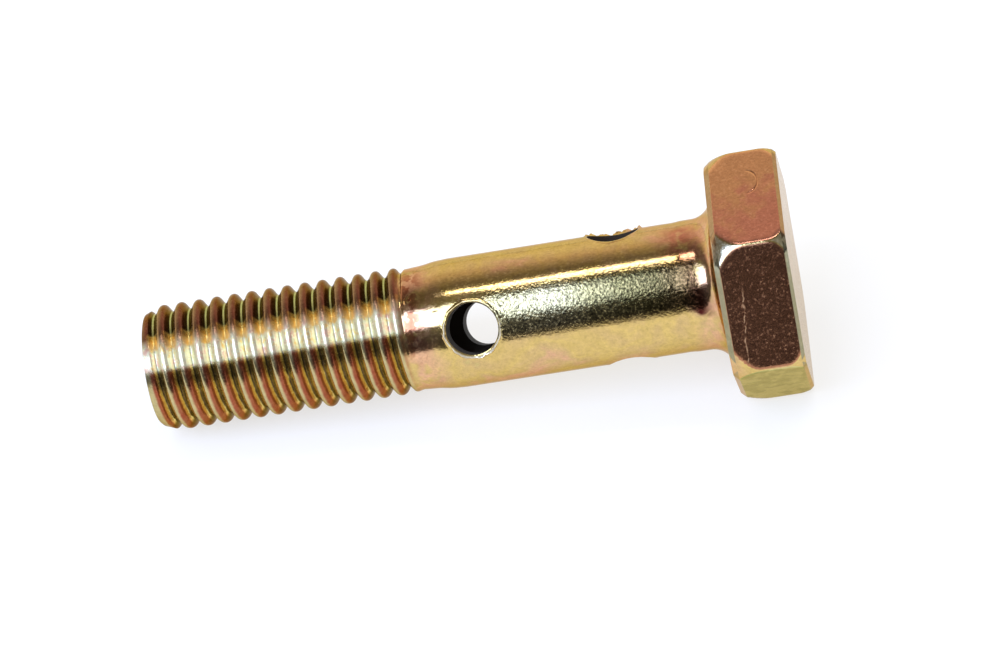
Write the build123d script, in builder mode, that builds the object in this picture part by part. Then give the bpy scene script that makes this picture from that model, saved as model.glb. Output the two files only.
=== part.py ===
"""Banjo bolt: one cold-forged, turned and rolled steel piece, lying at rest on a flat of its
head and on the crest of its thread's tip. Millimetres, +Z up, +X towards the head.
The origin is the centre of the bearing face, on the bolt's own axis."""

from build123d import *
import os
from math import atan2, cos, degrees, radians, sin, tan

# ---------------------------------------------------------------- driving dimensions
# Hexagon head
across_flats = 24.0
head_height = 7.8
hex_edge_radius = 0.8  # rounding along the six edges between the flats
seat_edge_break = 0.6  # 45 degree break along the bearing side of the flats
seat_rounding = 4.0  # how far the corners' rounding reaches up from the bearing face
crown_edge_break = 0.4  # the same break along the top side
crown_rounding = 2.5  # how far the corners' rounding reaches down from the top face
seat_corner_diameter = 24.8  # across the corners at the bearing face, after rounding
crown_corner_diameter = 26.0  # across the corners at the top face, after rounding

# Shank, measured down from the bearing face
under_head_fillet = 2.3
collar_diameter = 14.15  # short land under the head, turned a little larger
collar_length = 3.5
shank_diameter = 14.0
shoulder_start = 29.9  # where the shank tapers to the thread's neck
shoulder_length = 1.8
neck_diameter = 13.4
under_head_length = 62.3  # to the end of the tip

# Thread, M14 x 2 coarse, right hand, kept as a plain blank at its outside diameter
thread_start = 33.7
thread_diameter = 13.7
tip_diameter = 12.3
tip_chamfer_length = 1.8

# Oil passages
bore_diameter = 7.5
bore_end = 7.0  # bearing face to the end of the bore's full diameter
bore_mouth_break = 0.5
drill_point_angle = 118.0
cross_hole_diameter = 5.5
cross_hole_break = 0.2
lower_hole_distance = 26.6  # bearing face to the hole next to the thread
upper_hole_distance = 10.8  # bearing face to the hole next to the head
lower_hole_offset = 0.75  # both were drilled a little off the bolt's axis
upper_hole_offset = 0.6
lower_hole_angle = 44.5  # round the axis, up from level on the -Y side
cross_hole_turn = 90.0  # from the lower hole to the upper one, round the axis
cutter_clearance = 0.05  # how far the drill's waste stands out of the shank

# ---------------------------------------------------------------- resting pose
# The lowest flat and the tip's first full crest both touch the ground, so the axis leans.
half_flats = across_flats / 2
thread_radius = thread_diameter / 2
crest_distance = under_head_length - tip_chamfer_length
rest_angle = degrees(atan2(half_flats - thread_radius, crest_distance + seat_edge_break))
head_way = Vector(cos(radians(rest_angle)), 0, sin(radians(rest_angle)))
flat_way = Vector(-sin(radians(rest_angle)), 0, cos(radians(rest_angle)))

bolt_axis = Axis((0, 0, 0), head_way)
cross_plane = Plane(origin=(0, 0, 0), x_dir=flat_way, z_dir=head_way)
# In the profile plane x is the distance from the axis and y is the height above the bearing face.
profile_plane = Plane(origin=(0, 0, 0), x_dir=flat_way, z_dir=(0, 1, 0))


def cross_hole_plane(distance, angle, offset):
    """Plane whose z runs along a cross hole to its near end, and whose x points to the head."""
    near = cross_plane.x_dir * sin(radians(angle)) + cross_plane.y_dir * cos(radians(angle))
    aside = head_way.cross(near)
    return Plane(origin=head_way * -distance + aside * offset, x_dir=head_way, z_dir=near)


def cross_hole_waste(offset):
    """What drilling and breaking the rims take out of the shank, with the hole along z."""
    rod_radius = shank_diameter / 2 + cutter_clearance
    rod_length = 4 * cross_hole_diameter
    with BuildPart() as drilled_rod:
        with Locations((0, offset, 0)):
            Cylinder(rod_radius, rod_length, rotation=(0, 90, 0))
        Cylinder(cross_hole_diameter / 2, 3 * rod_radius, mode=Mode.SUBTRACT)
        rims = drilled_rod.edges(Select.LAST).filter_by(GeomType.LINE, reverse=True)
        chamfer(rims, cross_hole_break + cutter_clearance)
    with BuildPart() as waste:
        with Locations((0, offset, 0)):
            Cylinder(rod_radius, rod_length, rotation=(0, 90, 0))
        add(drilled_rod.part, mode=Mode.SUBTRACT)
    return waste.part


lower_waste = cross_hole_waste(lower_hole_offset)
upper_waste = cross_hole_waste(upper_hole_offset)

with BuildPart() as banjo_bolt:
    # Hexagon head, extruded and broken along its edges, then turned to round its corners off.
    with BuildSketch(cross_plane):
        hexagon = RegularPolygon(half_flats, 6, major_radius=False, rotation=30)
        fillet(hexagon.vertices(), hex_edge_radius)
    extrude(amount=head_height)
    end_faces = faces().filter_by(GeomType.PLANE).sort_by(bolt_axis)
    chamfer(end_faces[0].edges(), seat_edge_break)
    chamfer(faces().filter_by(GeomType.PLANE).sort_by(bolt_axis)[-1].edges(), crown_edge_break)
    clear_radius = half_flats / cos(radians(30))
    seat_corner_radius = seat_corner_diameter / 2
    crown_corner_radius = crown_corner_diameter / 2
    with BuildSketch(profile_plane):
        with BuildLine():
            Polyline(
                (seat_corner_radius, 0),
                (0, 0),
                (0, head_height),
                (crown_corner_radius, head_height),
            )
            seat_corner = TangentArc(
                (clear_radius, seat_rounding), (seat_corner_radius, 0), tangent=(0, -1)
            )
            crown_corner = TangentArc(
                (clear_radius, head_height - crown_rounding),
                (crown_corner_radius, head_height),
                tangent=(0, 1),
            )
            Line(seat_corner @ 0, crown_corner @ 0)
        make_face()
    revolve(axis=bolt_axis, mode=Mode.INTERSECT)

    # Shank and thread blank, turned from one profile that runs into the bearing face.
    collar_radius = collar_diameter / 2
    shank_radius = shank_diameter / 2
    neck_radius = neck_diameter / 2
    with BuildSketch(profile_plane):
        with BuildLine():
            fillet_arc = RadiusArc(
                (collar_radius + under_head_fillet, 0),
                (collar_radius, -under_head_fillet),
                under_head_fillet,
            )
            Polyline(
                fillet_arc @ 1,
                (collar_radius, collar_radius - shank_radius - collar_length),
                (shank_radius, -collar_length),
                (shank_radius, -shoulder_start),
                (neck_radius, -shoulder_start - shoulder_length),
                (neck_radius, -thread_start),
                (thread_radius, -thread_start),
                (thread_radius, -crest_distance),
                (tip_diameter / 2, -under_head_length),
                (0, -under_head_length),
                (0, 0),
                fillet_arc @ 0,
            )
        make_face()
    revolve(axis=bolt_axis)

    # Cross holes, drilled right through at two levels.
    upper_hole_angle = lower_hole_angle + cross_hole_turn
    with Locations(cross_hole_plane(lower_hole_distance, lower_hole_angle, lower_hole_offset).location):
        add(lower_waste, mode=Mode.SUBTRACT)
    with Locations(
        cross_hole_plane(upper_hole_distance, upper_hole_angle, upper_hole_offset).location
    ):
        add(upper_waste, mode=Mode.SUBTRACT)

    # Blind bore up the middle from the tip, with a drill point at its end.
    bore_radius = bore_diameter / 2
    point_height = bore_radius / tan(radians(drill_point_angle / 2))
    with BuildSketch(profile_plane):
        with BuildLine():
            Polyline(
                (0, -under_head_length),
                (bore_radius + bore_mouth_break, -under_head_length),
                (bore_radius, bore_mouth_break - under_head_length),
                (bore_radius, -bore_end),
                (0, point_height - bore_end),
                close=True,
            )
        make_face()
    revolve(axis=bolt_axis, mode=Mode.SUBTRACT)
banjo_bolt.part.label = "banjo_bolt"

os.makedirs("parts", exist_ok=True)
export_step(banjo_bolt.part, "parts/banjo_bolt.step")
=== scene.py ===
"""A banjo bolt in yellow-passivated zinc: one fine mesh over the CAD solid, on a pale floor.

Shapes are worked in millimetres in the bolt's own frame: x runs along the axis towards the head,
from 0 at the bearing face, z is square to the top flat and y lies to its left.
"""
import math

import bmesh
import bpy
import numpy as np
from mathutils import Matrix, Vector, noise


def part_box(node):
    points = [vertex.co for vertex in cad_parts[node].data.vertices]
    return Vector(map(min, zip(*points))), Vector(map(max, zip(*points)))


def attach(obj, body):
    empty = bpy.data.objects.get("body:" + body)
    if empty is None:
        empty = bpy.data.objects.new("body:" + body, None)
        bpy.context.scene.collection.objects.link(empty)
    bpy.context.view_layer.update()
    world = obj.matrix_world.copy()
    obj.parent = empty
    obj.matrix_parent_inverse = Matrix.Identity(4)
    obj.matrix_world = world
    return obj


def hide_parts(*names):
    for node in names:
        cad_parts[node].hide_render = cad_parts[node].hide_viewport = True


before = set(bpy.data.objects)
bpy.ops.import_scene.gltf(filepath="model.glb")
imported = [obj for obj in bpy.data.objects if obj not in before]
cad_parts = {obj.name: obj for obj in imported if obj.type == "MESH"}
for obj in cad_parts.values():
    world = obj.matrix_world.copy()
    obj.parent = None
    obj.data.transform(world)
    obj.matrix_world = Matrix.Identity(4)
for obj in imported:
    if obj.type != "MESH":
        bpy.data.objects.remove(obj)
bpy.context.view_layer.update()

# =========================================================================== banjo bolt
# One piece of steel: the head is forged, the body turned, the thread rolled, and the bore and
# two cross holes are drilled. All of it is zinc-plated and passivated yellow. The mesh is made
# in five parts, each below under its own heading, that join into one.

# --------------------------------------------------------------------------- turned body
# The bar between thread and head: neck and shoulder, the plain shank, a land a little wider
# than the shank, and the fillet that carries it into the head.
FILLET = 2.3
SHANK_R, LAND_R = 7.0, 7.075
outline_x = [-34.7, -34.4, -33.9, -33.5, -32.9, -32.3, -31.8, -31.25, -30.7, -30.16, -29.6, -29.0,
             -5.1, -4.6, -4.1, -3.6, -2.4]
outline_r = [6.85, 6.8, 6.64, 6.57, 6.62, 6.66, 6.70, 6.78, 6.88, 6.935, 6.965, SHANK_R,
             SHANK_R, 6.985, 7.01, 7.07, LAND_R]


def body_radius(x):
    """Radius of the turned body at x."""
    r = np.interp(x, outline_x, outline_r)
    up = np.clip(x + FILLET, 0, FILLET)
    hollow = LAND_R + FILLET - np.sqrt(np.maximum(FILLET**2 - up**2, 0))
    return np.where(x > -FILLET, hollow, r)


# Columns of points go round the axis, dense at the hexagon's six corners to keep those crisp.
from_flat = [0, 2.4, 4.8, 7.2, 9.6, 12, 14.4, 16.8, 19.2, 21.6, 24, 26, 27.4, 28.3, 28.9, 29.45]
sector = sorted([-30.0] + [-a for a in from_flat[1:]] + from_flat)
theta = np.radians([30 + 60 * k + a for k in range(6) for a in sector])
COLUMNS = len(theta)


def ring_points(x, r):
    """One ring of points, x and r each one number or one for each column."""
    return np.column_stack([x + 0 * theta, r * np.cos(theta), r * np.sin(theta)])


def grid_faces(rings, start=0, flip=False):
    """Faces between rings of points that follow each other."""
    out = []
    for m in range(rings - 1):
        a = start + m * COLUMNS
        for j in range(COLUMNS):
            k = (j + 1) % COLUMNS
            face = (a + j, a + k, a + COLUMNS + k, a + COLUMNS + j)
            out.append(face[::-1] if flip else face)
    return out


# --------------------------------------------------------------------------- thread
# Rolled, with rounded crests, from the neck to a chamfer at the tip. Rows of points run along
# the helix, so crest and root follow them. Both ends are clamped to a plane, and the doubled
# points that this leaves merge when the parts join.
CREST_R, PITCH, THREAD_DEPTH = 6.85, 1.956, 0.86
CREST_TOP = -34.704  # a crest passes the top of the bolt here
RUN_OUT, NECK = -34.6, -33.5  # the thread fades out between these
TIP, TIP_CHAMFER, TIP_R = -62.3, 1.8, 6.15
# share of half a pitch from the crest's middle, and the share of the depth reached there
from_crest = [0, 0.09, 0.18, 0.27, 0.36, 0.45, 0.56, 0.67, 0.76, 0.84, 0.92, 1.0]
below_crest = [0, 0.008, 0.034, 0.085, 0.17, 0.30, 0.49, 0.68, 0.82, 0.925, 0.99, 1.01]


def smooth(a, b, x):
    """0 below a, 1 above b, smooth between."""
    t = np.clip((x - a) / (b - a), 0, 1)
    return t * t * (3 - 2 * t)


def thread_radius(x, th, wear):
    """Radius of the thread at x and angle th, where wear is 0 on average."""
    phase = x - CREST_TOP - PITCH * (th - math.pi / 2) / (2 * math.pi)
    d = np.abs((phase + PITCH / 2) % PITCH - PITCH / 2) * 2 / PITCH
    drop = THREAD_DEPTH * np.interp(d, from_crest, below_crest)
    blank_end = outline_x[0]
    blank = np.where(x < blank_end, CREST_R, body_radius(np.maximum(x, blank_end)))
    cut = 1 - smooth(RUN_OUT, NECK, x)
    chamfer = TIP_R + (x - TIP) * (CREST_R - TIP_R) / TIP_CHAMFER
    return np.minimum(blank - cut * (drop * (1 + 0.05 * wear) + 0.02 * wear), chamfer)


# unevenness of the rolled surface, on a coarse grid of angles and places along the axis
RIPPLES = 60
ripple_x = np.linspace(TIP, NECK, RIPPLES)
ripple_t = np.append(theta[::4], theta[0] + 2 * math.pi)
ripple = np.array([[noise.noise(Vector((x * 0.9, 2.2 * math.cos(t), 2.2 * math.sin(t))))
                    for t in theta[::4]] for x in ripple_x])
ripple = np.column_stack([ripple, ripple[:, 0]])


def ripple_at(x, th):
    a = np.interp(x, ripple_x, np.arange(RIPPLES))
    b = np.interp(th % (2 * math.pi), ripple_t, np.arange(len(ripple_t)))
    i, j = a.astype(int).clip(0, RIPPLES - 2), b.astype(int).clip(0, len(ripple_t) - 2)
    u, v = a - i, b - j
    return ((1 - u) * (1 - v) * ripple[i, j] + u * (1 - v) * ripple[i + 1, j]
            + (1 - u) * v * ripple[i, j + 1] + u * v * ripple[i + 1, j + 1])


row_steps = np.array([-0.92, -0.84, -0.76, -0.67, -0.56, -0.45, -0.36, -0.27, -0.14, 0.0, 0.14,
                      0.27, 0.36, 0.45, 0.56, 0.67, 0.76, 0.84, 0.92, 1.0])
turns = np.arange(-16, 3)
row_x = (CREST_TOP - PITCH * 0.25 + PITCH * turns[:, None]
         + row_steps[None, :] * PITCH / 2).ravel()
rows, rows_a_turn = len(row_x), len(row_steps)
thread_x = np.clip(row_x[:, None] + PITCH * theta[None, :] / (2 * math.pi), TIP, NECK)
thread_t = np.broadcast_to(theta[None, :], thread_x.shape)
thread_r = thread_radius(thread_x, thread_t, ripple_at(thread_x, thread_t))
# a small nick across two crests near the tip
NICK_X, NICK_ANGLE, NICK_DEPTH = -59.5, 247, 0.35
nick = np.exp(-(((thread_x - NICK_X) / 0.55) ** 2
                + ((thread_t - np.radians(NICK_ANGLE)) / 0.05) ** 2))
thread_r = thread_r - NICK_DEPTH * nick * (thread_r > 6.3)
thread_v = np.column_stack([thread_x.ravel(), (thread_r * np.cos(thread_t)).ravel(),
                            (thread_r * np.sin(thread_t)).ravel()])
clamped_x = np.round(thread_x.ravel(), 5)
thread_f = []
for m in range(rows - 1):
    for j in range(COLUMNS):
        a, b = m * COLUMNS + j, (m + 1) * COLUMNS + j
        if j + 1 < COLUMNS:
            c, d = b + 1, a + 1
        elif m + 1 + rows_a_turn < rows:  # the last column meets the first one turn on
            c, d = (m + 1 + rows_a_turn) * COLUMNS, (m + rows_a_turn) * COLUMNS
        else:
            continue
        if len({clamped_x[i] for i in (a, b, c, d)}) > 1:
            thread_f.append((a, d, c, b))

# --------------------------------------------------------------------------- shank and holes
# Drilled from the tip with a blind oil bore, then right across at two places a quarter turn
# apart, each a little off the axis, with burrs at the near rims. The far rims are guessed: they
# are smaller and set off the near ones. The end caps, material index 1, go when the parts join.
BORE_R, BORE_END, DRILL_POINT = 3.75, -7.0, 118
NEAR_R, FAR_R = 2.8, 2.44
hole_x, hole_angle, hole_offset = (-26.6, -10.8), (44.5, 134.5), (0.75, 0.6)
far_shift = ((0.24, 0.23), (0.0, 0.6))  # of each far rim, along the bolt and across it
holes = []
for along, angle, offset in zip(hole_x, hole_angle, hole_offset):
    # a hole's own frame: z runs to its near end, x towards the head
    z = np.array([0, -math.cos(math.radians(angle)), math.sin(math.radians(angle))])
    x = np.array([1.0, 0, 0])
    y = np.cross(z, x)
    holes.append((np.array([along, 0, 0]) - y * offset, x, y, z))


def hole_coordinates(points, i, near):
    """Points in a hole's frame, centred on the drill of its near or far side."""
    o, x, y, z = holes[i]
    q = points - o
    u, v = q @ x, q @ y
    if not near:
        u, v = u - far_shift[i][0], v - far_shift[i][1]
    return u, v, q @ z


def shank_radius(points):
    """The true radius at points near the shank's surface, with rims and burrs."""
    rim_round, rim_reach = 0.09, 0.14  # the broken edge
    ring_out, ring_wide = 0.22, 0.13  # the ridge that the drill pushes up beside it
    r = body_radius(points[:, 0])
    for i in range(len(holes)):
        for near in (True, False):
            u, v, z = hole_coordinates(points, i, near)
            size = NEAR_R if near else FAR_R
            rho, phi = np.hypot(u, v), np.arctan2(v, u)
            here = ((z > 0) == near) & (rho < size + 1.6)
            drop = rim_round * np.clip((size + rim_reach - rho) / 0.2, 0, 1.2) ** 2
            lump = np.array([
                noise.fractal(Vector((4 * math.cos(t), 4 * math.sin(t), 7.0 * i + near)),
                              1.0, 2.0, 3) if h else 0.0 for t, h in zip(phi, here)])
            ring = np.exp(-(((rho - size - ring_out - 0.10 * lump) / ring_wide) ** 2))
            if i == 0 and near:
                # a burr along the low side, and metal pushed up beside the rim
                low_side, half_burr = math.radians(-98), 1.3
                turn = np.abs((phi - low_side + math.pi) % (2 * math.pi) - math.pi)
                low = np.clip(np.cos(turn / half_burr), 0, 1) * (turn < half_burr * math.pi / 2)
                lift = ring * (0.05 + 0.24 * low**0.6 * (1 + 0.9 * lump))
                lift = lift + 0.06 * np.exp(-(((u + 4.0) / 0.9) ** 2 + ((v - 1.2) / 1.6) ** 2))
                drop = drop * (1 - 0.75 * low)
            elif i == 1 and near:
                # torn lumps along the lip that is farther from the front
                lip = np.clip(np.sin(phi), 0, 1)
                lift = ring * (0.05 + 0.42 * lip**0.5 * np.clip(0.55 + 1.1 * lump, 0, 1.0))
            else:
                lift = ring * 0.03
            r = r + np.where(here, lift - drop * (rho < size + rim_reach), 0)
    return r


shank_rows = np.concatenate([
    np.arange(NECK, -23.5, 0.27), np.arange(-23.5, -14.1, 0.8), np.arange(-14.1, -7.5, 0.27),
    np.arange(-7.5, -5.5, 0.5), np.arange(-5.5, -FILLET - 0.1, 0.25), [-FILLET],
])
shank_v = [ring_points(x, body_radius(np.array([x]))[0]) for x in shank_rows]
shank_f = grid_faces(len(shank_rows), flip=True)
caps = [0] * len(shank_f)
point_length = BORE_R / math.tan(math.radians(DRILL_POINT / 2))
bore_rows = [(x, BORE_R) for x in (NECK, -28.5, -23.5, -18.5, -13.5, -9.5, BORE_END)]
bore_rows.append((BORE_END + point_length * 0.985, BORE_R * 0.015))
start = len(shank_rows) * COLUMNS
shank_v += [ring_points(x, r) for x, r in bore_rows]
bore_f = grid_faces(len(bore_rows), start)
last = start + (len(bore_rows) - 1) * COLUMNS
shank_f += bore_f + [tuple(last + j for j in range(COLUMNS))]
caps += [0] * (len(bore_f) + 1)
for j in range(COLUMNS):  # the flat ring at the neck
    k = (j + 1) % COLUMNS
    shank_f.append((j, k, start + k, start + j)[::-1])
    caps.append(1)
top = (len(shank_rows) - 1) * COLUMNS
shank_f.append(tuple(top + j for j in range(COLUMNS)))
caps.append(1)
shank_mesh = bpy.data.meshes.new("shank")
shank_mesh.from_pydata([tuple(map(float, v)) for v in np.vstack(shank_v)], [], shank_f)
shank_mesh.polygons.foreach_set("material_index", caps)
shank_mesh.update()
shank = bpy.data.objects.new("shank", shank_mesh)
bpy.context.scene.collection.objects.link(shank)

# Refine the wall round the rims, then move every outer point to its true radius.
OUTER_FROM = 6.0
near_rims = ((0, True), (1, True))
all_rims = ((0, True), (0, False), (1, True), (1, False))
bm = bmesh.new()
bm.from_mesh(shank.data)
for rims, reach in ((all_rims, 0.9), (near_rims, 0.6)):
    pts = np.array([v.co[:] for v in bm.verts])
    outer = np.hypot(pts[:, 1], pts[:, 2]) > OUTER_FROM
    mark = np.zeros(len(pts), bool)
    for i, near in rims:
        u, v, z = hole_coordinates(pts, i, near)
        rho, size = np.hypot(u, v), NEAR_R if near else FAR_R
        mark |= outer & ((z > 0) == near) & (rho > size - 0.45) & (rho < size + reach)
    bm.edges.ensure_lookup_table()
    edges = [e for e in bm.edges if mark[e.verts[0].index] and mark[e.verts[1].index]]
    bmesh.ops.subdivide_edges(bm, edges=edges, cuts=1, use_grid_fill=True)
    bm.verts.index_update()
bmesh.ops.triangulate(bm, faces=[f for f in bm.faces if 4 < len(f.verts) < COLUMNS
                                 and f.material_index == 0])
bm.verts.index_update()
bm.verts.ensure_lookup_table()
pts = np.array([v.co[:] for v in bm.verts])
radii = np.hypot(pts[:, 1], pts[:, 2])
move = (radii > OUTER_FROM) & (pts[:, 0] > NECK + 0.01) & (pts[:, 0] < -FILLET - 0.01)
for v, s in zip(np.nonzero(move)[0], shank_radius(pts[move]) / radii[move]):
    co = bm.verts[v].co
    co.y *= s
    co.z *= s
bmesh.ops.recalc_face_normals(bm, faces=bm.faces)
bm.to_mesh(shank.data)
bm.free()

DRILL_LENGTH = 10
for (o, x, y, z), shift in zip(holes, far_shift):
    for near in (True, False):
        size = NEAR_R if near else FAR_R
        at = o + z * (DRILL_LENGTH / 2 if near else -DRILL_LENGTH / 2)
        if not near:
            at = at + x * shift[0] + y * shift[1]
        turned = Matrix([[x[k], y[k], z[k], at[k]] for k in range(3)] + [[0, 0, 0, 1]])
        drill_mesh = bpy.data.meshes.new("drill")
        bm = bmesh.new()
        bmesh.ops.create_cone(bm, cap_ends=True, segments=128, radius1=size, radius2=size,
                              depth=DRILL_LENGTH)
        bmesh.ops.transform(bm, matrix=turned, verts=bm.verts)
        bm.to_mesh(drill_mesh)
        bm.free()
        drill = bpy.data.objects.new("drill", drill_mesh)
        bpy.context.scene.collection.objects.link(drill)
        cut = shank.modifiers.new("cut", "BOOLEAN")
        cut.operation, cut.solver, cut.object = "DIFFERENCE", "EXACT", drill
        graph = bpy.context.evaluated_depsgraph_get()
        drilled = bpy.data.meshes.new_from_object(shank.evaluated_get(graph))
        shank.modifiers.clear()
        undrilled, shank.data = shank.data, drilled
        bpy.data.meshes.remove(undrilled)
        bpy.data.objects.remove(drill)
        bpy.data.meshes.remove(drill_mesh)

# --------------------------------------------------------------------------- head
# Forged hexagon, faced and broken at both ends. Its corners are turned off in an arc at each
# end, wider below than on the crown, which leaves the curved ends of the six flats.
HALF_FLATS, HEAD_HEIGHT, CORNER_R = 12.0, 7.8, 0.8
SEAT_BREAK, SEAT_ROUND, SEAT_R = 0.6, 4.0, 12.4
CROWN_BREAK, CROWN_ROUND, CROWN_R = 0.4, 2.5, 13.0
SOFTNESS = 0.10  # how softly the turned corners meet the flats


def hex_radius(th, inset):
    """Distance to the rounded hexagon's side, for a hexagon shrunk by inset."""
    a = np.abs((th - math.radians(30) + math.pi / 6) % (math.pi / 3) - math.pi / 6)
    flat = (HALF_FLATS - inset) / np.cos(a)
    rad = CORNER_R + 0.25 * inset
    centre = (HALF_FLATS - inset - rad) / math.cos(math.pi / 6)
    b = math.pi / 6 - a
    under = np.maximum(rad**2 - (centre * np.sin(b)) ** 2, 0)
    turn = math.atan((HALF_FLATS - inset - rad) * math.tan(math.pi / 6) / (HALF_FLATS - inset))
    return np.where(a > turn, centre * np.cos(b) + np.sqrt(under), flat)


def arc_radius(from_face, reach, end):
    """Radius of the turned corners: end at their face, the whole corner from reach upwards."""
    corner = HALF_FLATS / math.cos(math.pi / 6)
    gap = corner - end
    rad = (gap**2 + reach**2) / (2 * gap)
    h = np.clip(reach - from_face, 0, reach)
    return corner - rad + np.sqrt(rad**2 - h**2)


def soft_min(a, b, k):
    h = np.clip(0.5 + 0.5 * (b - a) / k, 0, 1)
    return b * (1 - h) + a * h - k * h * (1 - h)


side_x = [0.0, 0.06, 0.14, 0.24, 0.34, 0.43, 0.5, 0.56, 0.61, 0.68, 0.78, 0.9, 1.05, 1.25, 1.5,
          1.8, 2.15, 2.55, 3.0, 3.5, 4.1, 4.7, 5.2, 5.6, 5.9, 6.15, 6.37, 6.57, 6.75, 6.92, 7.06,
          7.17, 7.26, 7.33, 7.38, 7.42, 7.47, 7.53, 7.6, 7.67, 7.72, 7.76, 7.79, HEAD_HEIGHT]
head_v = []
for x in -FILLET * (1 - np.sin(np.linspace(0, math.pi / 2, 14)[:-1])):
    head_v.append(ring_points(x, body_radius(np.array([x]))[0]))
for r in (9.375, 9.8, 10.3, 10.8, 11.15):  # the bearing face
    head_v.append(ring_points(0.0, r))
for x in side_x:
    inset = max(SEAT_BREAK - x, 0) + max(CROWN_BREAK - (HEAD_HEIGHT - x), 0)
    turned_r = min(arc_radius(np.array(x), SEAT_ROUND, SEAT_R),
                   arc_radius(np.array(HEAD_HEIGHT - x), CROWN_ROUND, CROWN_R))
    full_ring = np.full(COLUMNS, float(turned_r))
    head_v.append(ring_points(x, soft_min(hex_radius(theta, inset), full_ring, SOFTNESS)))
for r in (11.35, 11.0, 10.5, 9.9, 8.8, 7.0, 4.5, 2.0):  # the crown
    head_v.append(ring_points(HEAD_HEIGHT, r))
last = (len(head_v) - 1) * COLUMNS
head_f = grid_faces(len(head_v), flip=True) + [tuple(last + j for j in range(COLUMNS))]
head_v = np.vstack(head_v)

# --------------------------------------------------------------------------- tip
# Faced flat, with the bore's mouth broken, and the bore's wall as far as the neck.
MOUTH_BREAK = 0.5
at_tip = np.full(COLUMNS, TIP)
tip_v = [ring_points(TIP, thread_radius(at_tip, theta, ripple_at(at_tip, theta)))]
for x, r in ((TIP, 5.2), (TIP, BORE_R + MOUTH_BREAK + 0.06), (TIP + 0.05, BORE_R + MOUTH_BREAK),
             (TIP + 0.5, BORE_R + 0.03), (TIP + 0.6, BORE_R), (-52.5, BORE_R), (-42.5, BORE_R),
             (NECK, BORE_R)):
    tip_v.append(ring_points(x, r))
tip_f = grid_faces(len(tip_v))
tip_v = np.vstack(tip_v)

# --------------------------------------------------------------------------- the parts joined
# The parts share their end rings, which merge. Each point then keeps its place in millimetres,
# and whether it lies in a hole or on a burr, for the plating.
bm = bmesh.new()
bm.from_mesh(shank.data)
bmesh.ops.delete(bm, geom=[f for f in bm.faces if f.material_index == 1], context="FACES")
for part_v, part_f in ((thread_v, thread_f), (head_v, head_f), (tip_v, tip_f)):
    made = [bm.verts.new(tuple(map(float, v))) for v in part_v]
    for f in part_f:
        try:
            bm.faces.new([made[i] for i in f])
        except ValueError:
            pass
bmesh.ops.remove_doubles(bm, verts=bm.verts, dist=0.004)
bmesh.ops.dissolve_degenerate(bm, dist=0.002, edges=bm.edges)
bmesh.ops.delete(bm, geom=[v for v in bm.verts if not v.link_faces], context="VERTS")
bmesh.ops.recalc_face_normals(bm, faces=bm.faces)
open_edges = sum(1 for e in bm.edges if len(e.link_faces) != 2)
bolt_mm = bm.verts.layers.float_vector.new("bolt_mm")
in_hole = bm.verts.layers.float.new("in_hole")
for v in bm.verts:
    v[bolt_mm] = v.co
co = np.array([v.co[:] for v in bm.verts])
radial = np.hypot(co[:, 1], co[:, 2])
in_bore = (radial < BORE_R + 0.55) & (co[:, 0] < 0)
for i in range(len(holes)):
    for near, size in ((True, NEAR_R), (False, FAR_R)):
        u, v, z = hole_coordinates(co, i, near)
        in_bore |= ((z > 0) if near else (z < 0)) & (np.hypot(u, v) < size + 0.03)
burr = bm.verts.layers.float.new("burr")
proud = np.clip((radial - body_radius(co[:, 0]) - 0.05) / 0.10, 0, 1)
proud[(co[:, 0] > -4.0) | (co[:, 0] < -31.0)] = 0
u, v, z = hole_coordinates(co, 0, True)
proud[np.hypot(u, v) > 3.5] = 0
for v, inner, p in zip(bm.verts, in_bore, proud):
    v[in_hole] = 1.0 if inner else 0.0
    v[burr] = p
# at rest the bolt lies on one flat's lower edge and on its tip
rest_angle = math.atan2(HALF_FLATS - CREST_R, -TIP - TIP_CHAMFER + SEAT_BREAK)
TO_WORLD = np.column_stack([
    [math.cos(rest_angle), 0, math.sin(rest_angle)], [0.0, 1.0, 0.0],
    [-math.sin(rest_angle), 0, math.cos(rest_angle)]])
to_world = Matrix([list(r) + [0] for r in TO_WORLD * 0.001] + [[0, 0, 0, 1]])
bmesh.ops.transform(bm, matrix=to_world, verts=bm.verts)
for f in bm.faces:
    f.material_index = 0
    f.smooth = True
bolt_mesh = bpy.data.meshes.new("bolt_body")
bm.to_mesh(bolt_mesh)
bm.free()
bolt = bpy.data.objects.new("bolt_body", bolt_mesh)
bpy.context.scene.collection.objects.link(bolt)
drilled = shank.data
bpy.data.objects.remove(shank)
bpy.data.meshes.remove(drilled)
bolt_mesh.set_sharp_from_angle(angle=math.radians(32))
print("triangles", sum(len(p.vertices) - 2 for p in bolt_mesh.polygons),
      "open edges", open_edges)

# --------------------------------------------------------------------------- plating
# Bright zinc under a thin chromate film, which looks gold, pink, green or brown by its
# thickness. All marks are placed in the bolt's own millimetres, so they stay on the bolt.
plating = bpy.data.materials.new("yellow_zinc_plating")


def empty_tree(owner):
    owner.use_nodes = True
    owner.node_tree.nodes.clear()
    return owner.node_tree


tree = empty_tree(plating)  # the functions below add their nodes to this one


def node(kind, **settings):
    n = tree.nodes.new(kind)
    for k, v in settings.items():
        setattr(n, k, v)
    return n


def put(socket, v):
    """Link an output, or set a plain value."""
    if isinstance(v, bpy.types.NodeSocket):
        tree.links.new(v, socket)
    elif isinstance(v, tuple):
        socket.default_value = (*v, 1) if len(v) == 3 and socket.type == "RGBA" else v
    else:
        socket.default_value = v


def calc(op, a, b=0.0, c=0.0):
    n = node("ShaderNodeMath", operation=op)
    for i, v in enumerate((a, b, c)):
        put(n.inputs[i], v)
    return n.outputs[0]


def chain(op, values):
    out = values[0]
    for v in values[1:]:
        out = calc(op, out, v)
    return out


def times(*values):
    return chain("MULTIPLY", values)


def most(*values):
    return chain("MAXIMUM", values)


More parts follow.
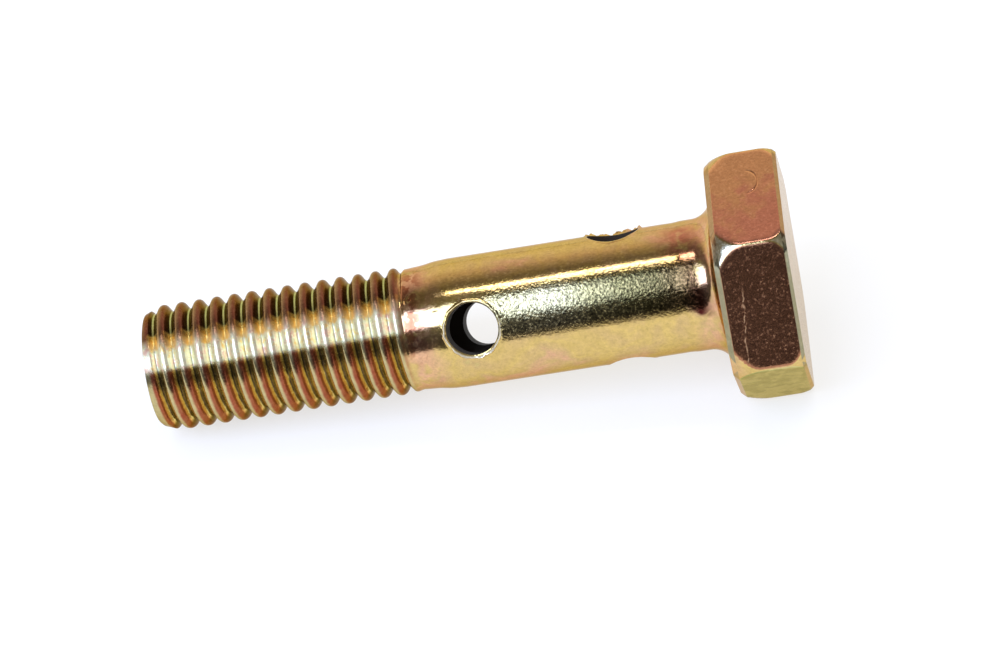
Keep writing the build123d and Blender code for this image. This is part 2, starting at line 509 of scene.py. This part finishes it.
def outside(mask):
    return calc("SUBTRACT", 1.0, mask)


def slope(x, gain, start):
    return calc("MULTIPLY_ADD", x, gain, start)


def step_up(x, lo, hi):
    """0 below lo, 1 above hi, smooth between."""
    n = node("ShaderNodeMapRange", interpolation_type="SMOOTHSTEP")
    put(n.inputs["Value"], x)
    n.inputs["From Min"].default_value, n.inputs["From Max"].default_value = lo, hi
    return n.outputs[0]


def bell(x, mid, wide):
    """1 at mid, 0 at a distance of wide or more."""
    return outside(step_up(calc("ABSOLUTE", calc("SUBTRACT", x, mid)), 0.0, wide))


def grain(scale, detail=3.0, rough=0.5, distortion=0.0, shift=0.0):
    """Cloudy noise about 0.5. Each use has its own shift, so no two are alike."""
    n = node("ShaderNodeTexNoise", noise_dimensions="4D")
    for k, v in (("Scale", scale), ("Detail", detail), ("Roughness", rough),
                 ("Distortion", distortion), ("W", shift)):
        n.inputs[k].default_value = v
    put(n.inputs["Vector"], mm)
    return n.outputs["Fac"]


def blend(fac, a, b, mode="MIX"):
    n = node("ShaderNodeMix", data_type="RGBA", blend_type=mode)
    put(n.inputs[0], fac)
    put(n.inputs[6], a)
    put(n.inputs[7], b)
    return n.outputs[2]


def colours(x, *stops):
    n = node("ShaderNodeValToRGB")
    el = n.color_ramp.elements
    while len(el) < len(stops):
        el.new(0.5)
    for e, (p, c) in zip(el, stops):
        e.position, e.color = p, (*c, 1)
    put(n.inputs[0], x)
    return n.outputs[0]


mm = node("ShaderNodeAttribute", attribute_name="bolt_mm").outputs["Vector"]
hole_mask = node("ShaderNodeAttribute", attribute_name="in_hole").outputs["Fac"]
burr_mask = node("ShaderNodeAttribute", attribute_name="burr").outputs["Fac"]
split = node("ShaderNodeSeparateXYZ")
put(split.inputs[0], mm)
px, py, pz = split.outputs
radial_mm = calc("SQRT", calc("ADD", times(py, py), times(pz, pz)))


def out_to(angle):
    """Distance from the axis towards an angle: 90 is up, as the top flat faces, 0 is right."""
    turned = math.radians(angle)
    return calc("ADD", times(py, -math.cos(turned)), times(pz, math.sin(turned)))


def along_flat(angle):
    """Distance along the flat that faces an angle, from its middle."""
    turned = math.radians(angle)
    return calc("ADD", times(py, math.sin(turned)), times(pz, math.cos(turned)))


def facing(angle):
    """1 on the line that lies at an angle round the axis, less to either side of it."""
    return calc("DIVIDE", out_to(angle), radial_mm)


# The film on the whole bolt drifts from khaki over yellow to pink. It is pink at the shoulder
# and the fillet, with rust-red patches on top of the shoulder.
YELLOW, TAN, PINK = (0.66, 0.475, 0.160), (0.62, 0.435, 0.185), (0.72, 0.41, 0.25)
KHAKI, RUST = (0.55, 0.50, 0.18), (0.36, 0.115, 0.05)
SHOULDER, FILLET_MIDDLE = -32.6, -1.2
SHOULDER_TOP = 66
tint = grain(0.16, 3.0, 0.55, 0.5)
patch = grain(0.5, 2.0, 0.5, 0.6, shift=3.0)
base = colours(tint, (0.26, KHAKI), (0.38, TAN), (0.50, YELLOW), (0.60, TAN), (0.70, PINK))
ends = most(bell(px, SHOULDER, 3.4), bell(px, FILLET_MIDDLE, 3.0))
base = blend(times(ends, step_up(patch, 0.36, 0.56), 0.9), base, PINK)
rusty = times(bell(px, SHOULDER - 0.4, 2.2), step_up(grain(0.9, 2.0, shift=12.0), 0.47, 0.56),
              step_up(out_to(SHOULDER_TOP), 3.0, 6.0))
base = blend(times(rusty, 0.85), base, RUST)

# The thread is coloured along its pitch: phase is 0 at a crest's middle, below 0 on its tip
# side and 0.5 either way at the roots. Each list below runs from root to root.
turn = calc("DIVIDE", calc("ARCTAN2", pz, py), 2 * math.pi)
pitch_at = calc("SUBTRACT", calc("DIVIDE", calc("SUBTRACT", px, CREST_TOP), PITCH),
                calc("SUBTRACT", turn, 0.25))
phase = calc("SUBTRACT", calc("FRACT", calc("ADD", pitch_at, 0.5)), 0.5)
threaded = outside(step_up(px, RUN_OUT, NECK - 0.2))
streaks = grain(1.1, 3.0, 0.6, 0.3, shift=9.0)
# the near-black ends of this list are painted shade in the roots
ROOT_SHADE_TO_AMBER = (
    (0.0, (0.05, 0.03, 0.012)), (0.05, (0.14, 0.12, 0.04)), (0.11, (0.44, 0.37, 0.17)),
    (0.30, (0.50, 0.42, 0.20)), (0.47, (0.53, 0.44, 0.22)), (0.54, (0.42, 0.22, 0.11)),
    (0.59, (0.32, 0.075, 0.04)), (0.79, (0.36, 0.085, 0.04)), (0.83, (1.0, 0.55, 0.16)),
    (0.91, (1.0, 0.78, 0.26)), (0.95, (0.06, 0.035, 0.012)), (1.0, (0.05, 0.03, 0.012)))
ragged_phase = slope(streaks, 0.10, calc("ADD", phase, -0.05))
base = blend(times(threaded, slope(streaks, 0.4, 0.74)), base,
             colours(calc("ADD", ragged_phase, 0.5), *ROOT_SHADE_TO_AMBER))

# Painted highlight along one side of the thread, pale and streaked pink and green.
HIGHLIGHT_SIDE = 60
HIGHLIGHT_STREAKS = ((0.36, (0.80, 0.52, 0.40)), (0.46, (0.84, 0.80, 0.56)),
                (0.54, (0.76, 0.82, 0.58)), (0.64, (0.86, 0.62, 0.26)))
# painted highlight: the pale band where the lamp's reflection lies
pale = step_up(facing(HIGHLIGHT_SIDE), 0.942, 0.976)
base = blend(times(threaded, pale, slope(streaks, 0.6, 0.45)), base,
             colours(grain(1.5, 3.0, 0.6, 0.4, shift=11.0), *HIGHLIGHT_STREAKS))

# Painted shade on the next side, with a light painted glint along the root and an orange
# painted glint where the two sides meet.
SHADED_SIDE, MEETING = 125, 74
GLINT_LINE_AND_SHADE = (
    (0.0, (0.52, 0.58, 0.24)), (0.045, (0.50, 0.55, 0.22)), (0.075, (0.05, 0.05, 0.018)),
    (0.20, (0.08, 0.06, 0.03)), (0.31, (0.33, 0.22, 0.115)), (0.48, (0.25, 0.13, 0.07)),
    (0.62, (0.19, 0.07, 0.045)), (0.80, (0.09, 0.04, 0.025)), (0.925, (0.05, 0.045, 0.016)),
    (0.955, (0.50, 0.55, 0.22)), (1.0, (0.52, 0.58, 0.24)))
GLINT_ORANGE = (0.85, 0.50, 0.09)
base = blend(times(threaded, step_up(out_to(SHADED_SIDE), 3.1, 4.3), 0.9), base,
             colours(calc("ADD", phase, 0.5), *GLINT_LINE_AND_SHADE))
# painted glint: orange where the two sides meet
painted_glint = times(threaded, step_up(facing(MEETING), 0.984, 0.994),
              outside(bell(phase, 0.0, 0.44)), slope(streaks, 1.2, 0.1))
base = blend(painted_glint, base, GLINT_ORANGE)

# Painted shadow in the roots of the low side.
LOW_SIDE, ROOT_SHADOW_BROWN = -42, (0.035, 0.022, 0.012)
painted_root_shadow = times(threaded, step_up(facing(LOW_SIDE), 0.95, 0.99),
                  outside(bell(phase, 0.0, 0.40)))
base = blend(times(painted_root_shadow, 0.9), base, ROOT_SHADOW_BROWN)

# Flats of the head: copper on the top one, redder along it, brown on the next and khaki on the
# one below that, partly the film's tone and partly painted light and shade. The turned corner
# between the top flat and the next carries a painted silver highlight; the broken edges are grey.
FLAT_ANGLES = (90, 30, -30, -90, -150, 150)
TOP_CORNER = 60  # between the top flat and the next
COPPER, RED_COPPER, BROWN = (0.74, 0.40, 0.19), (0.70, 0.30, 0.19), (0.42, 0.188, 0.098)
PALE_KHAKI, DARK_KHAKI = (0.58, 0.55, 0.24), (0.32, 0.33, 0.12)
CORNER_HIGHLIGHT, EDGE_GREY, EDGE_COPPER = (0.86, 0.84, 0.66), (0.26, 0.26, 0.17), (0.46, 0.26, 0.12)
head = step_up(px, 0.25, SEAT_BREAK)
flats_out = [out_to(k) for k in FLAT_ANGLES]
on_flat = most(*flats_out)
up_along, mid_along = along_flat(FLAT_ANGLES[0]), along_flat(FLAT_ANGLES[1])
up_flat, mid_flat, low_flat = (
    times(head, step_up(d, HALF_FLATS - 0.09, HALF_FLATS - 0.035)) for d in flats_out[:3])
base = blend(up_flat, base, COPPER)
redder = slope(up_along, -0.055, slope(px, 0.02, patch))
base = blend(times(up_flat, step_up(redder, 0.42, 0.80)), base, RED_COPPER)
base = blend(mid_flat, base, BROWN)
base = blend(low_flat, base, PALE_KHAKI)
base = blend(times(low_flat, step_up(patch, 0.44, 0.60), 0.6), base, DARK_KHAKI)
corner = times(step_up(px, 0.0, 0.1),
               outside(step_up(on_flat, HALF_FLATS - 0.20, HALF_FLATS - 0.07)),
               step_up(radial_mm, HALF_FLATS - 0.1, HALF_FLATS + 0.2))
# painted highlight along the corner between the top flat and the next
base = blend(times(corner, step_up(out_to(TOP_CORNER), 11.0, 12.5), slope(patch, 0.9, 0.30)),
             base, CORNER_HIGHLIGHT)
seat_edge = times(step_up(px, -0.05, 0.02),
                  outside(step_up(px, SEAT_BREAK - 0.08, SEAT_BREAK + 0.02)))
crown_edge = times(step_up(px, HEAD_HEIGHT - 0.42, HEAD_HEIGHT - 0.35),
                   step_up(on_flat, HALF_FLATS - 0.5, HALF_FLATS - 0.4))
edge = most(seat_edge, crown_edge)
edge_sides = times(edge, step_up(on_flat, HALF_FLATS - 0.65, HALF_FLATS - 0.58))
base = blend(times(edge_sides, step_up(pz, -4.0, 1.0), 0.85), base, EDGE_GREY)
base = blend(times(edge, step_up(flats_out[0], 11.1, 11.4), step_up(up_along, -7.0, -5.5), 0.75),
             base, EDGE_COPPER)

# A dark red blot and a pink bloom by the fillet, and a speckled, worn band along the shank
# that goes from olive to near black towards the head, the darkening being painted shade.
BLOT_AT, BLOOM_AT, WORN_AND_SHADED_SIDE = 31, 88, 48
DARK_RED, BLOOM_PINK = (0.085, 0.016, 0.014), (0.50, 0.16, 0.11)
OLIVE_TO_PAINTED_SHADE = (
    (0.05, (0.42, 0.36, 0.16)), (0.38, (0.44, 0.39, 0.22)), (0.55, (0.25, 0.22, 0.10)),
    (0.70, (0.15, 0.135, 0.055)), (0.84, (0.085, 0.075, 0.027)), (1.0, (0.11, 0.05, 0.025)))
blot = times(bell(px, -2.4, 2.0), step_up(facing(BLOT_AT), 0.960, 0.985),
             step_up(patch, 0.30, 0.42))
base = blend(blot, base, DARK_RED)
bloom = times(bell(px, -3.6, 3.4), step_up(facing(BLOOM_AT), 0.90, 0.97),
              step_up(patch, 0.30, 0.50))
base = blend(times(bloom, 0.75), base, BLOOM_PINK)
worn_and_shaded = times(step_up(out_to(WORN_AND_SHADED_SIDE), 6.35, 6.75), step_up(px, -26.5, -23.5),
             outside(step_up(px, -2.8, -1.5)))
# painted shade: the band darkens towards the head
base = blend(times(worn_and_shaded, 0.9), base, colours(slope(px, 0.04, 1.1), *OLIVE_TO_PAINTED_SHADE))

# Fine mottling over everything, much stronger in the worn band.
speck = grain(3.6, 3.0, 0.7, shift=2.0)
shade = slope(grain(1.3, 4.0, 0.62, shift=1.0), 0.44, 0.78)
shade = times(shade, slope(calc("SUBTRACT", speck, 0.5), slope(worn_and_shaded, 4.2, 0.6), 1.0))
shade = most(shade, 0.12)
shade_rgb = node("ShaderNodeCombineColor")
for channel in shade_rgb.inputs:
    put(channel, shade)
base = blend(1.0, base, shade_rgb.outputs[0], "MULTIPLY")

# Rubbed specks, one long scratch across the brown flat and a crescent dent on the top one.
RUBBED = (0.66, 0.40, 0.22)
DENT_X, DENT_ALONG, DENT_R = 4.35, 2.1, 1.32
wobble = slope(grain(0.8, 2.0, shift=5.0), 0.9, -0.45)
scratch_x = calc("ADD", calc("ADD", px, times(mid_along, -0.09)), wobble)
scratch = times(mid_flat, bell(scratch_x, 2.35, 0.15), step_up(mid_along, -6.2, -5.6),
                outside(step_up(mid_along, 1.0, 3.0)), step_up(streaks, 0.42, 0.52))
specks = times(step_up(speck, 0.52, 0.70),
               calc("ADD", slope(mid_flat, 0.18, 0.12), times(worn_and_shaded, 0.10)))
rubbed = most(specks, times(scratch, 0.4))
base = blend(most(times(scratch, 0.85), times(rubbed, 0.7)), base, RUBBED)
dx, dy = calc("SUBTRACT", px, DENT_X), calc("SUBTRACT", up_along, DENT_ALONG)
from_dent = calc("SQRT", calc("ADD", times(dx, dx, 1.15), times(dy, dy, 0.62)))
crescent = times(up_flat, bell(from_dent, DENT_R, 0.16), step_up(dx, -0.1, 0.7))
base = blend(times(crescent, 0.5), base, RUST)

# Pale on the burrs, partly bare metal and partly a painted reflection, and painted shade in
# the bore and the cross holes: their walls are near black and matt.
BARE_METAL_AND_REFLECTION, HOLE_SHADE = (0.74, 0.66, 0.47), (0.035, 0.026, 0.02)
shaded_walls = times(hole_mask, outside(step_up(radial_mm, SHANK_R - 0.05, SHANK_R + 0.03)))
burrs = times(burr_mask, outside(shaded_walls))
# pale burrs: partly bare metal, partly a painted reflection
base = blend(step_up(burrs, 0.4, 0.95), base, BARE_METAL_AND_REFLECTION)
# painted shade: the hole walls near black
base = blend(shaded_walls, base, HOLE_SHADE)

shader = node("ShaderNodeBsdfPrincipled")
put(shader.inputs["Base Color"], base)
# less metal where the painted highlight and glint lie, so they stay pale under any light
painted_highlight_matt = times(most(times(threaded, pale), painted_glint), 0.4)
put(shader.inputs["Metallic"], outside(most(shaded_walls, rubbed, times(burrs, 0.5), painted_highlight_matt)))
put(shader.inputs["Specular IOR Level"], 0.12)
put(shader.inputs["Specular Tint"], (0.72, 0.58, 0.38))
rough = slope(grain(2.5, 3.0, shift=4.0), 0.16, slope(threaded, 0.12, 0.05))
rough = calc("ADD", rough,
             calc("ADD", times(shaded_walls, 0.5), times(most(up_flat, mid_flat), 0.10)))
put(shader.inputs["Roughness"], rough)
grit = times(grain(3.4, 2.5, 0.6, shift=7.0), slope(worn_and_shaded, 0.036, 0.012))
waves = times(grain(0.7, 2.0, shift=8.0), 0.010)
height = calc("SUBTRACT", calc("ADD", grit, waves), times(crescent, 0.05))
bump = node("ShaderNodeBump")
put(bump.inputs["Strength"], 1.0)
put(bump.inputs["Distance"], 0.001)  # the height is in millimetres
put(bump.inputs["Height"], height)
put(shader.inputs["Normal"], bump.outputs[0])
put(node("ShaderNodeOutputMaterial").inputs[0], shader.outputs[0])
bolt_mesh.materials.append(plating)

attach(bolt, "root")
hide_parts("banjo_bolt")

# =========================================================================== floor
# A wide sheet of matt white paper that the bolt lies on. Two thirds of what the camera and the
# metal see of it is its own glow, which keeps it nearly white and the bolt's shadow faint.
FLOOR_HALF, PAPER, OWN_GLOW = 1.2, (0.92, 0.92, 0.92), 0.65
floor_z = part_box("banjo_bolt")[0][2]
floor_mesh = bpy.data.meshes.new("floor")
corners = [(x * FLOOR_HALF, y * FLOOR_HALF, floor_z)
           for x, y in ((-1, -1), (1, -1), (1, 1), (-1, 1))]
floor_mesh.from_pydata(corners, [], [(0, 1, 2, 3)])
floor = bpy.data.objects.new("floor", floor_mesh)
bpy.context.scene.collection.objects.link(floor)
paper = bpy.data.materials.new("floor")
tree = empty_tree(paper)


def mix(fac, a, b):
    """Shader a where fac is 0, b where it is 1."""
    n = node("ShaderNodeMixShader")
    for i, v in enumerate((fac, a, b)):
        put(n.inputs[i], v)
    return n.outputs[0]


matt = node("ShaderNodeBsdfDiffuse")
put(matt.inputs[0], PAPER)
rays = node("ShaderNodeLightPath").outputs
seen = most(rays["Is Camera Ray"], rays["Is Glossy Ray"], rays["Is Transmission Ray"])
ground = mix(times(seen, OWN_GLOW), matt.outputs[0], node("ShaderNodeEmission").outputs[0])
put(node("ShaderNodeOutputMaterial").inputs[0], ground)
floor_mesh.materials.append(paper)

# =========================================================================== studio
# Even pale light all round for what is matt. Metal sees a graded room instead: dark on the
# camera's side, brighter and warmer over to the far side. The background is plain white.
ROOM = (
    (0.0, (0.10, 0.09, 0.09)), (0.04, (0.065, 0.06, 0.065)), (0.12, (0.075, 0.075, 0.09)),
    (0.20, (0.15, 0.15, 0.16)), (0.27, (0.20, 0.21, 0.22)), (0.45, (0.22, 0.21, 0.18)),
    (0.55, (0.13, 0.11, 0.09)), (0.64, (0.16, 0.13, 0.11)), (0.71, (0.36, 0.29, 0.25)),
    (0.78, (0.70, 0.55, 0.48)), (0.88, (0.95, 0.85, 0.74)), (1.0, (1.0, 0.95, 0.85)))
world = bpy.data.worlds.new("studio")
bpy.context.scene.world = world
tree = empty_tree(world)


def background(colour):
    n = node("ShaderNodeBackground")
    put(n.inputs[0], colour)
    return n.outputs[0]


way = node("ShaderNodeSeparateXYZ")
put(way.inputs[0], node("ShaderNodeTexCoord").outputs["Generated"])
_, wy, wz = way.outputs
# round the X axis: 0 at the camera's horizon, 0.5 overhead, 1 at the far horizon
angle = calc("DIVIDE", calc("ARCTAN2", wz, calc("MULTIPLY", wy, -1.0)), math.pi)
rays = node("ShaderNodeLightPath").outputs
mirrored = most(rays["Is Glossy Ray"], rays["Is Transmission Ray"])
around = mix(mirrored, background((0.95, 0.95, 0.95)), background(colours(angle, *ROOM)))
around = mix(rays["Is Camera Ray"], around, background((1.0, 1.0, 1.0)))
put(node("ShaderNodeOutputWorld").inputs[0], around)

MIDDLE = -25.5  # place along the bolt, in mm, that the lamps and the camera are set round


def soft_box(name, round_x, from_x, to_x, spread, distance, glow, colour):
    """A flat lamp at an angle round the X axis, from one x to another, as deep as spread."""
    a = math.radians(round_x)
    toward = Vector((0, -math.cos(a), math.sin(a)))
    length, depth = to_x - from_x, 2 * distance * math.tan(math.radians(spread / 2))
    lamp = bpy.data.lights.new(name, "AREA")
    lamp.shape, lamp.size, lamp.size_y = "RECTANGLE", length, depth
    lamp.energy = glow * math.pi * length * depth
    lamp.color = colour
    x_way = Vector((1, 0, 0))
    turned = Matrix((x_way, toward.cross(x_way), toward)).transposed().to_4x4()
    turned.translation = (Vector(((from_x + to_x) / 2 + MIDDLE / 1000, 0, 0))
                          + toward * distance)
    box = bpy.data.objects.new(name, lamp)
    box.matrix_world = turned
    box.visible_camera = False
    bpy.context.scene.collection.objects.link(box)


soft_box("main_box", round_x=61.5, from_x=-1.10, to_x=-0.060, spread=35, distance=0.6,
         glow=4.0, colour=(0.80, 1.0, 1.55))
soft_box("strip", round_x=101, from_x=-0.16, to_x=0.30, spread=3.4, distance=0.6,
         glow=10.0, colour=(1.0, 1.0, 1.05))

# =========================================================================== camera
# A long lens from the side, well above the bolt and a little towards its head.
TOWARD_HEAD, ABOVE, ROLL = math.radians(6.65), math.radians(46.08), math.radians(-8.89)
DISTANCE, SHIFT_RIGHT, SHIFT_UP = 408.39, 1.243, -1.704
SENSOR, LENS = 36, 136.6704
back = np.array([math.sin(TOWARD_HEAD), -math.cos(TOWARD_HEAD) * math.cos(ABOVE),
                 math.cos(TOWARD_HEAD) * math.sin(ABOVE)])
level = np.array([1.0, 0, 0]) - back * back[0]
level /= np.linalg.norm(level)
upright = np.cross(back, level)
right = math.cos(ROLL) * level + math.sin(ROLL) * upright
up = -math.sin(ROLL) * level + math.cos(ROLL) * upright
place = np.array([MIDDLE, 0, 0]) + back * DISTANCE + right * SHIFT_RIGHT + up * SHIFT_UP
view = np.eye(4)
view[:3, :3] = TO_WORLD @ np.column_stack([right, up, back])
view[:3, 3] = TO_WORLD @ place * 0.001
lens = bpy.data.cameras.new("camera")
lens.sensor_width, lens.lens, lens.clip_start = SENSOR, LENS, 0.01
camera = bpy.data.objects.new("camera", lens)
camera.matrix_world = Matrix(view.tolist())
bpy.context.scene.collection.objects.link(camera)
bpy.context.scene.camera = camera
bpy.context.scene.view_settings.view_transform = "Standard"
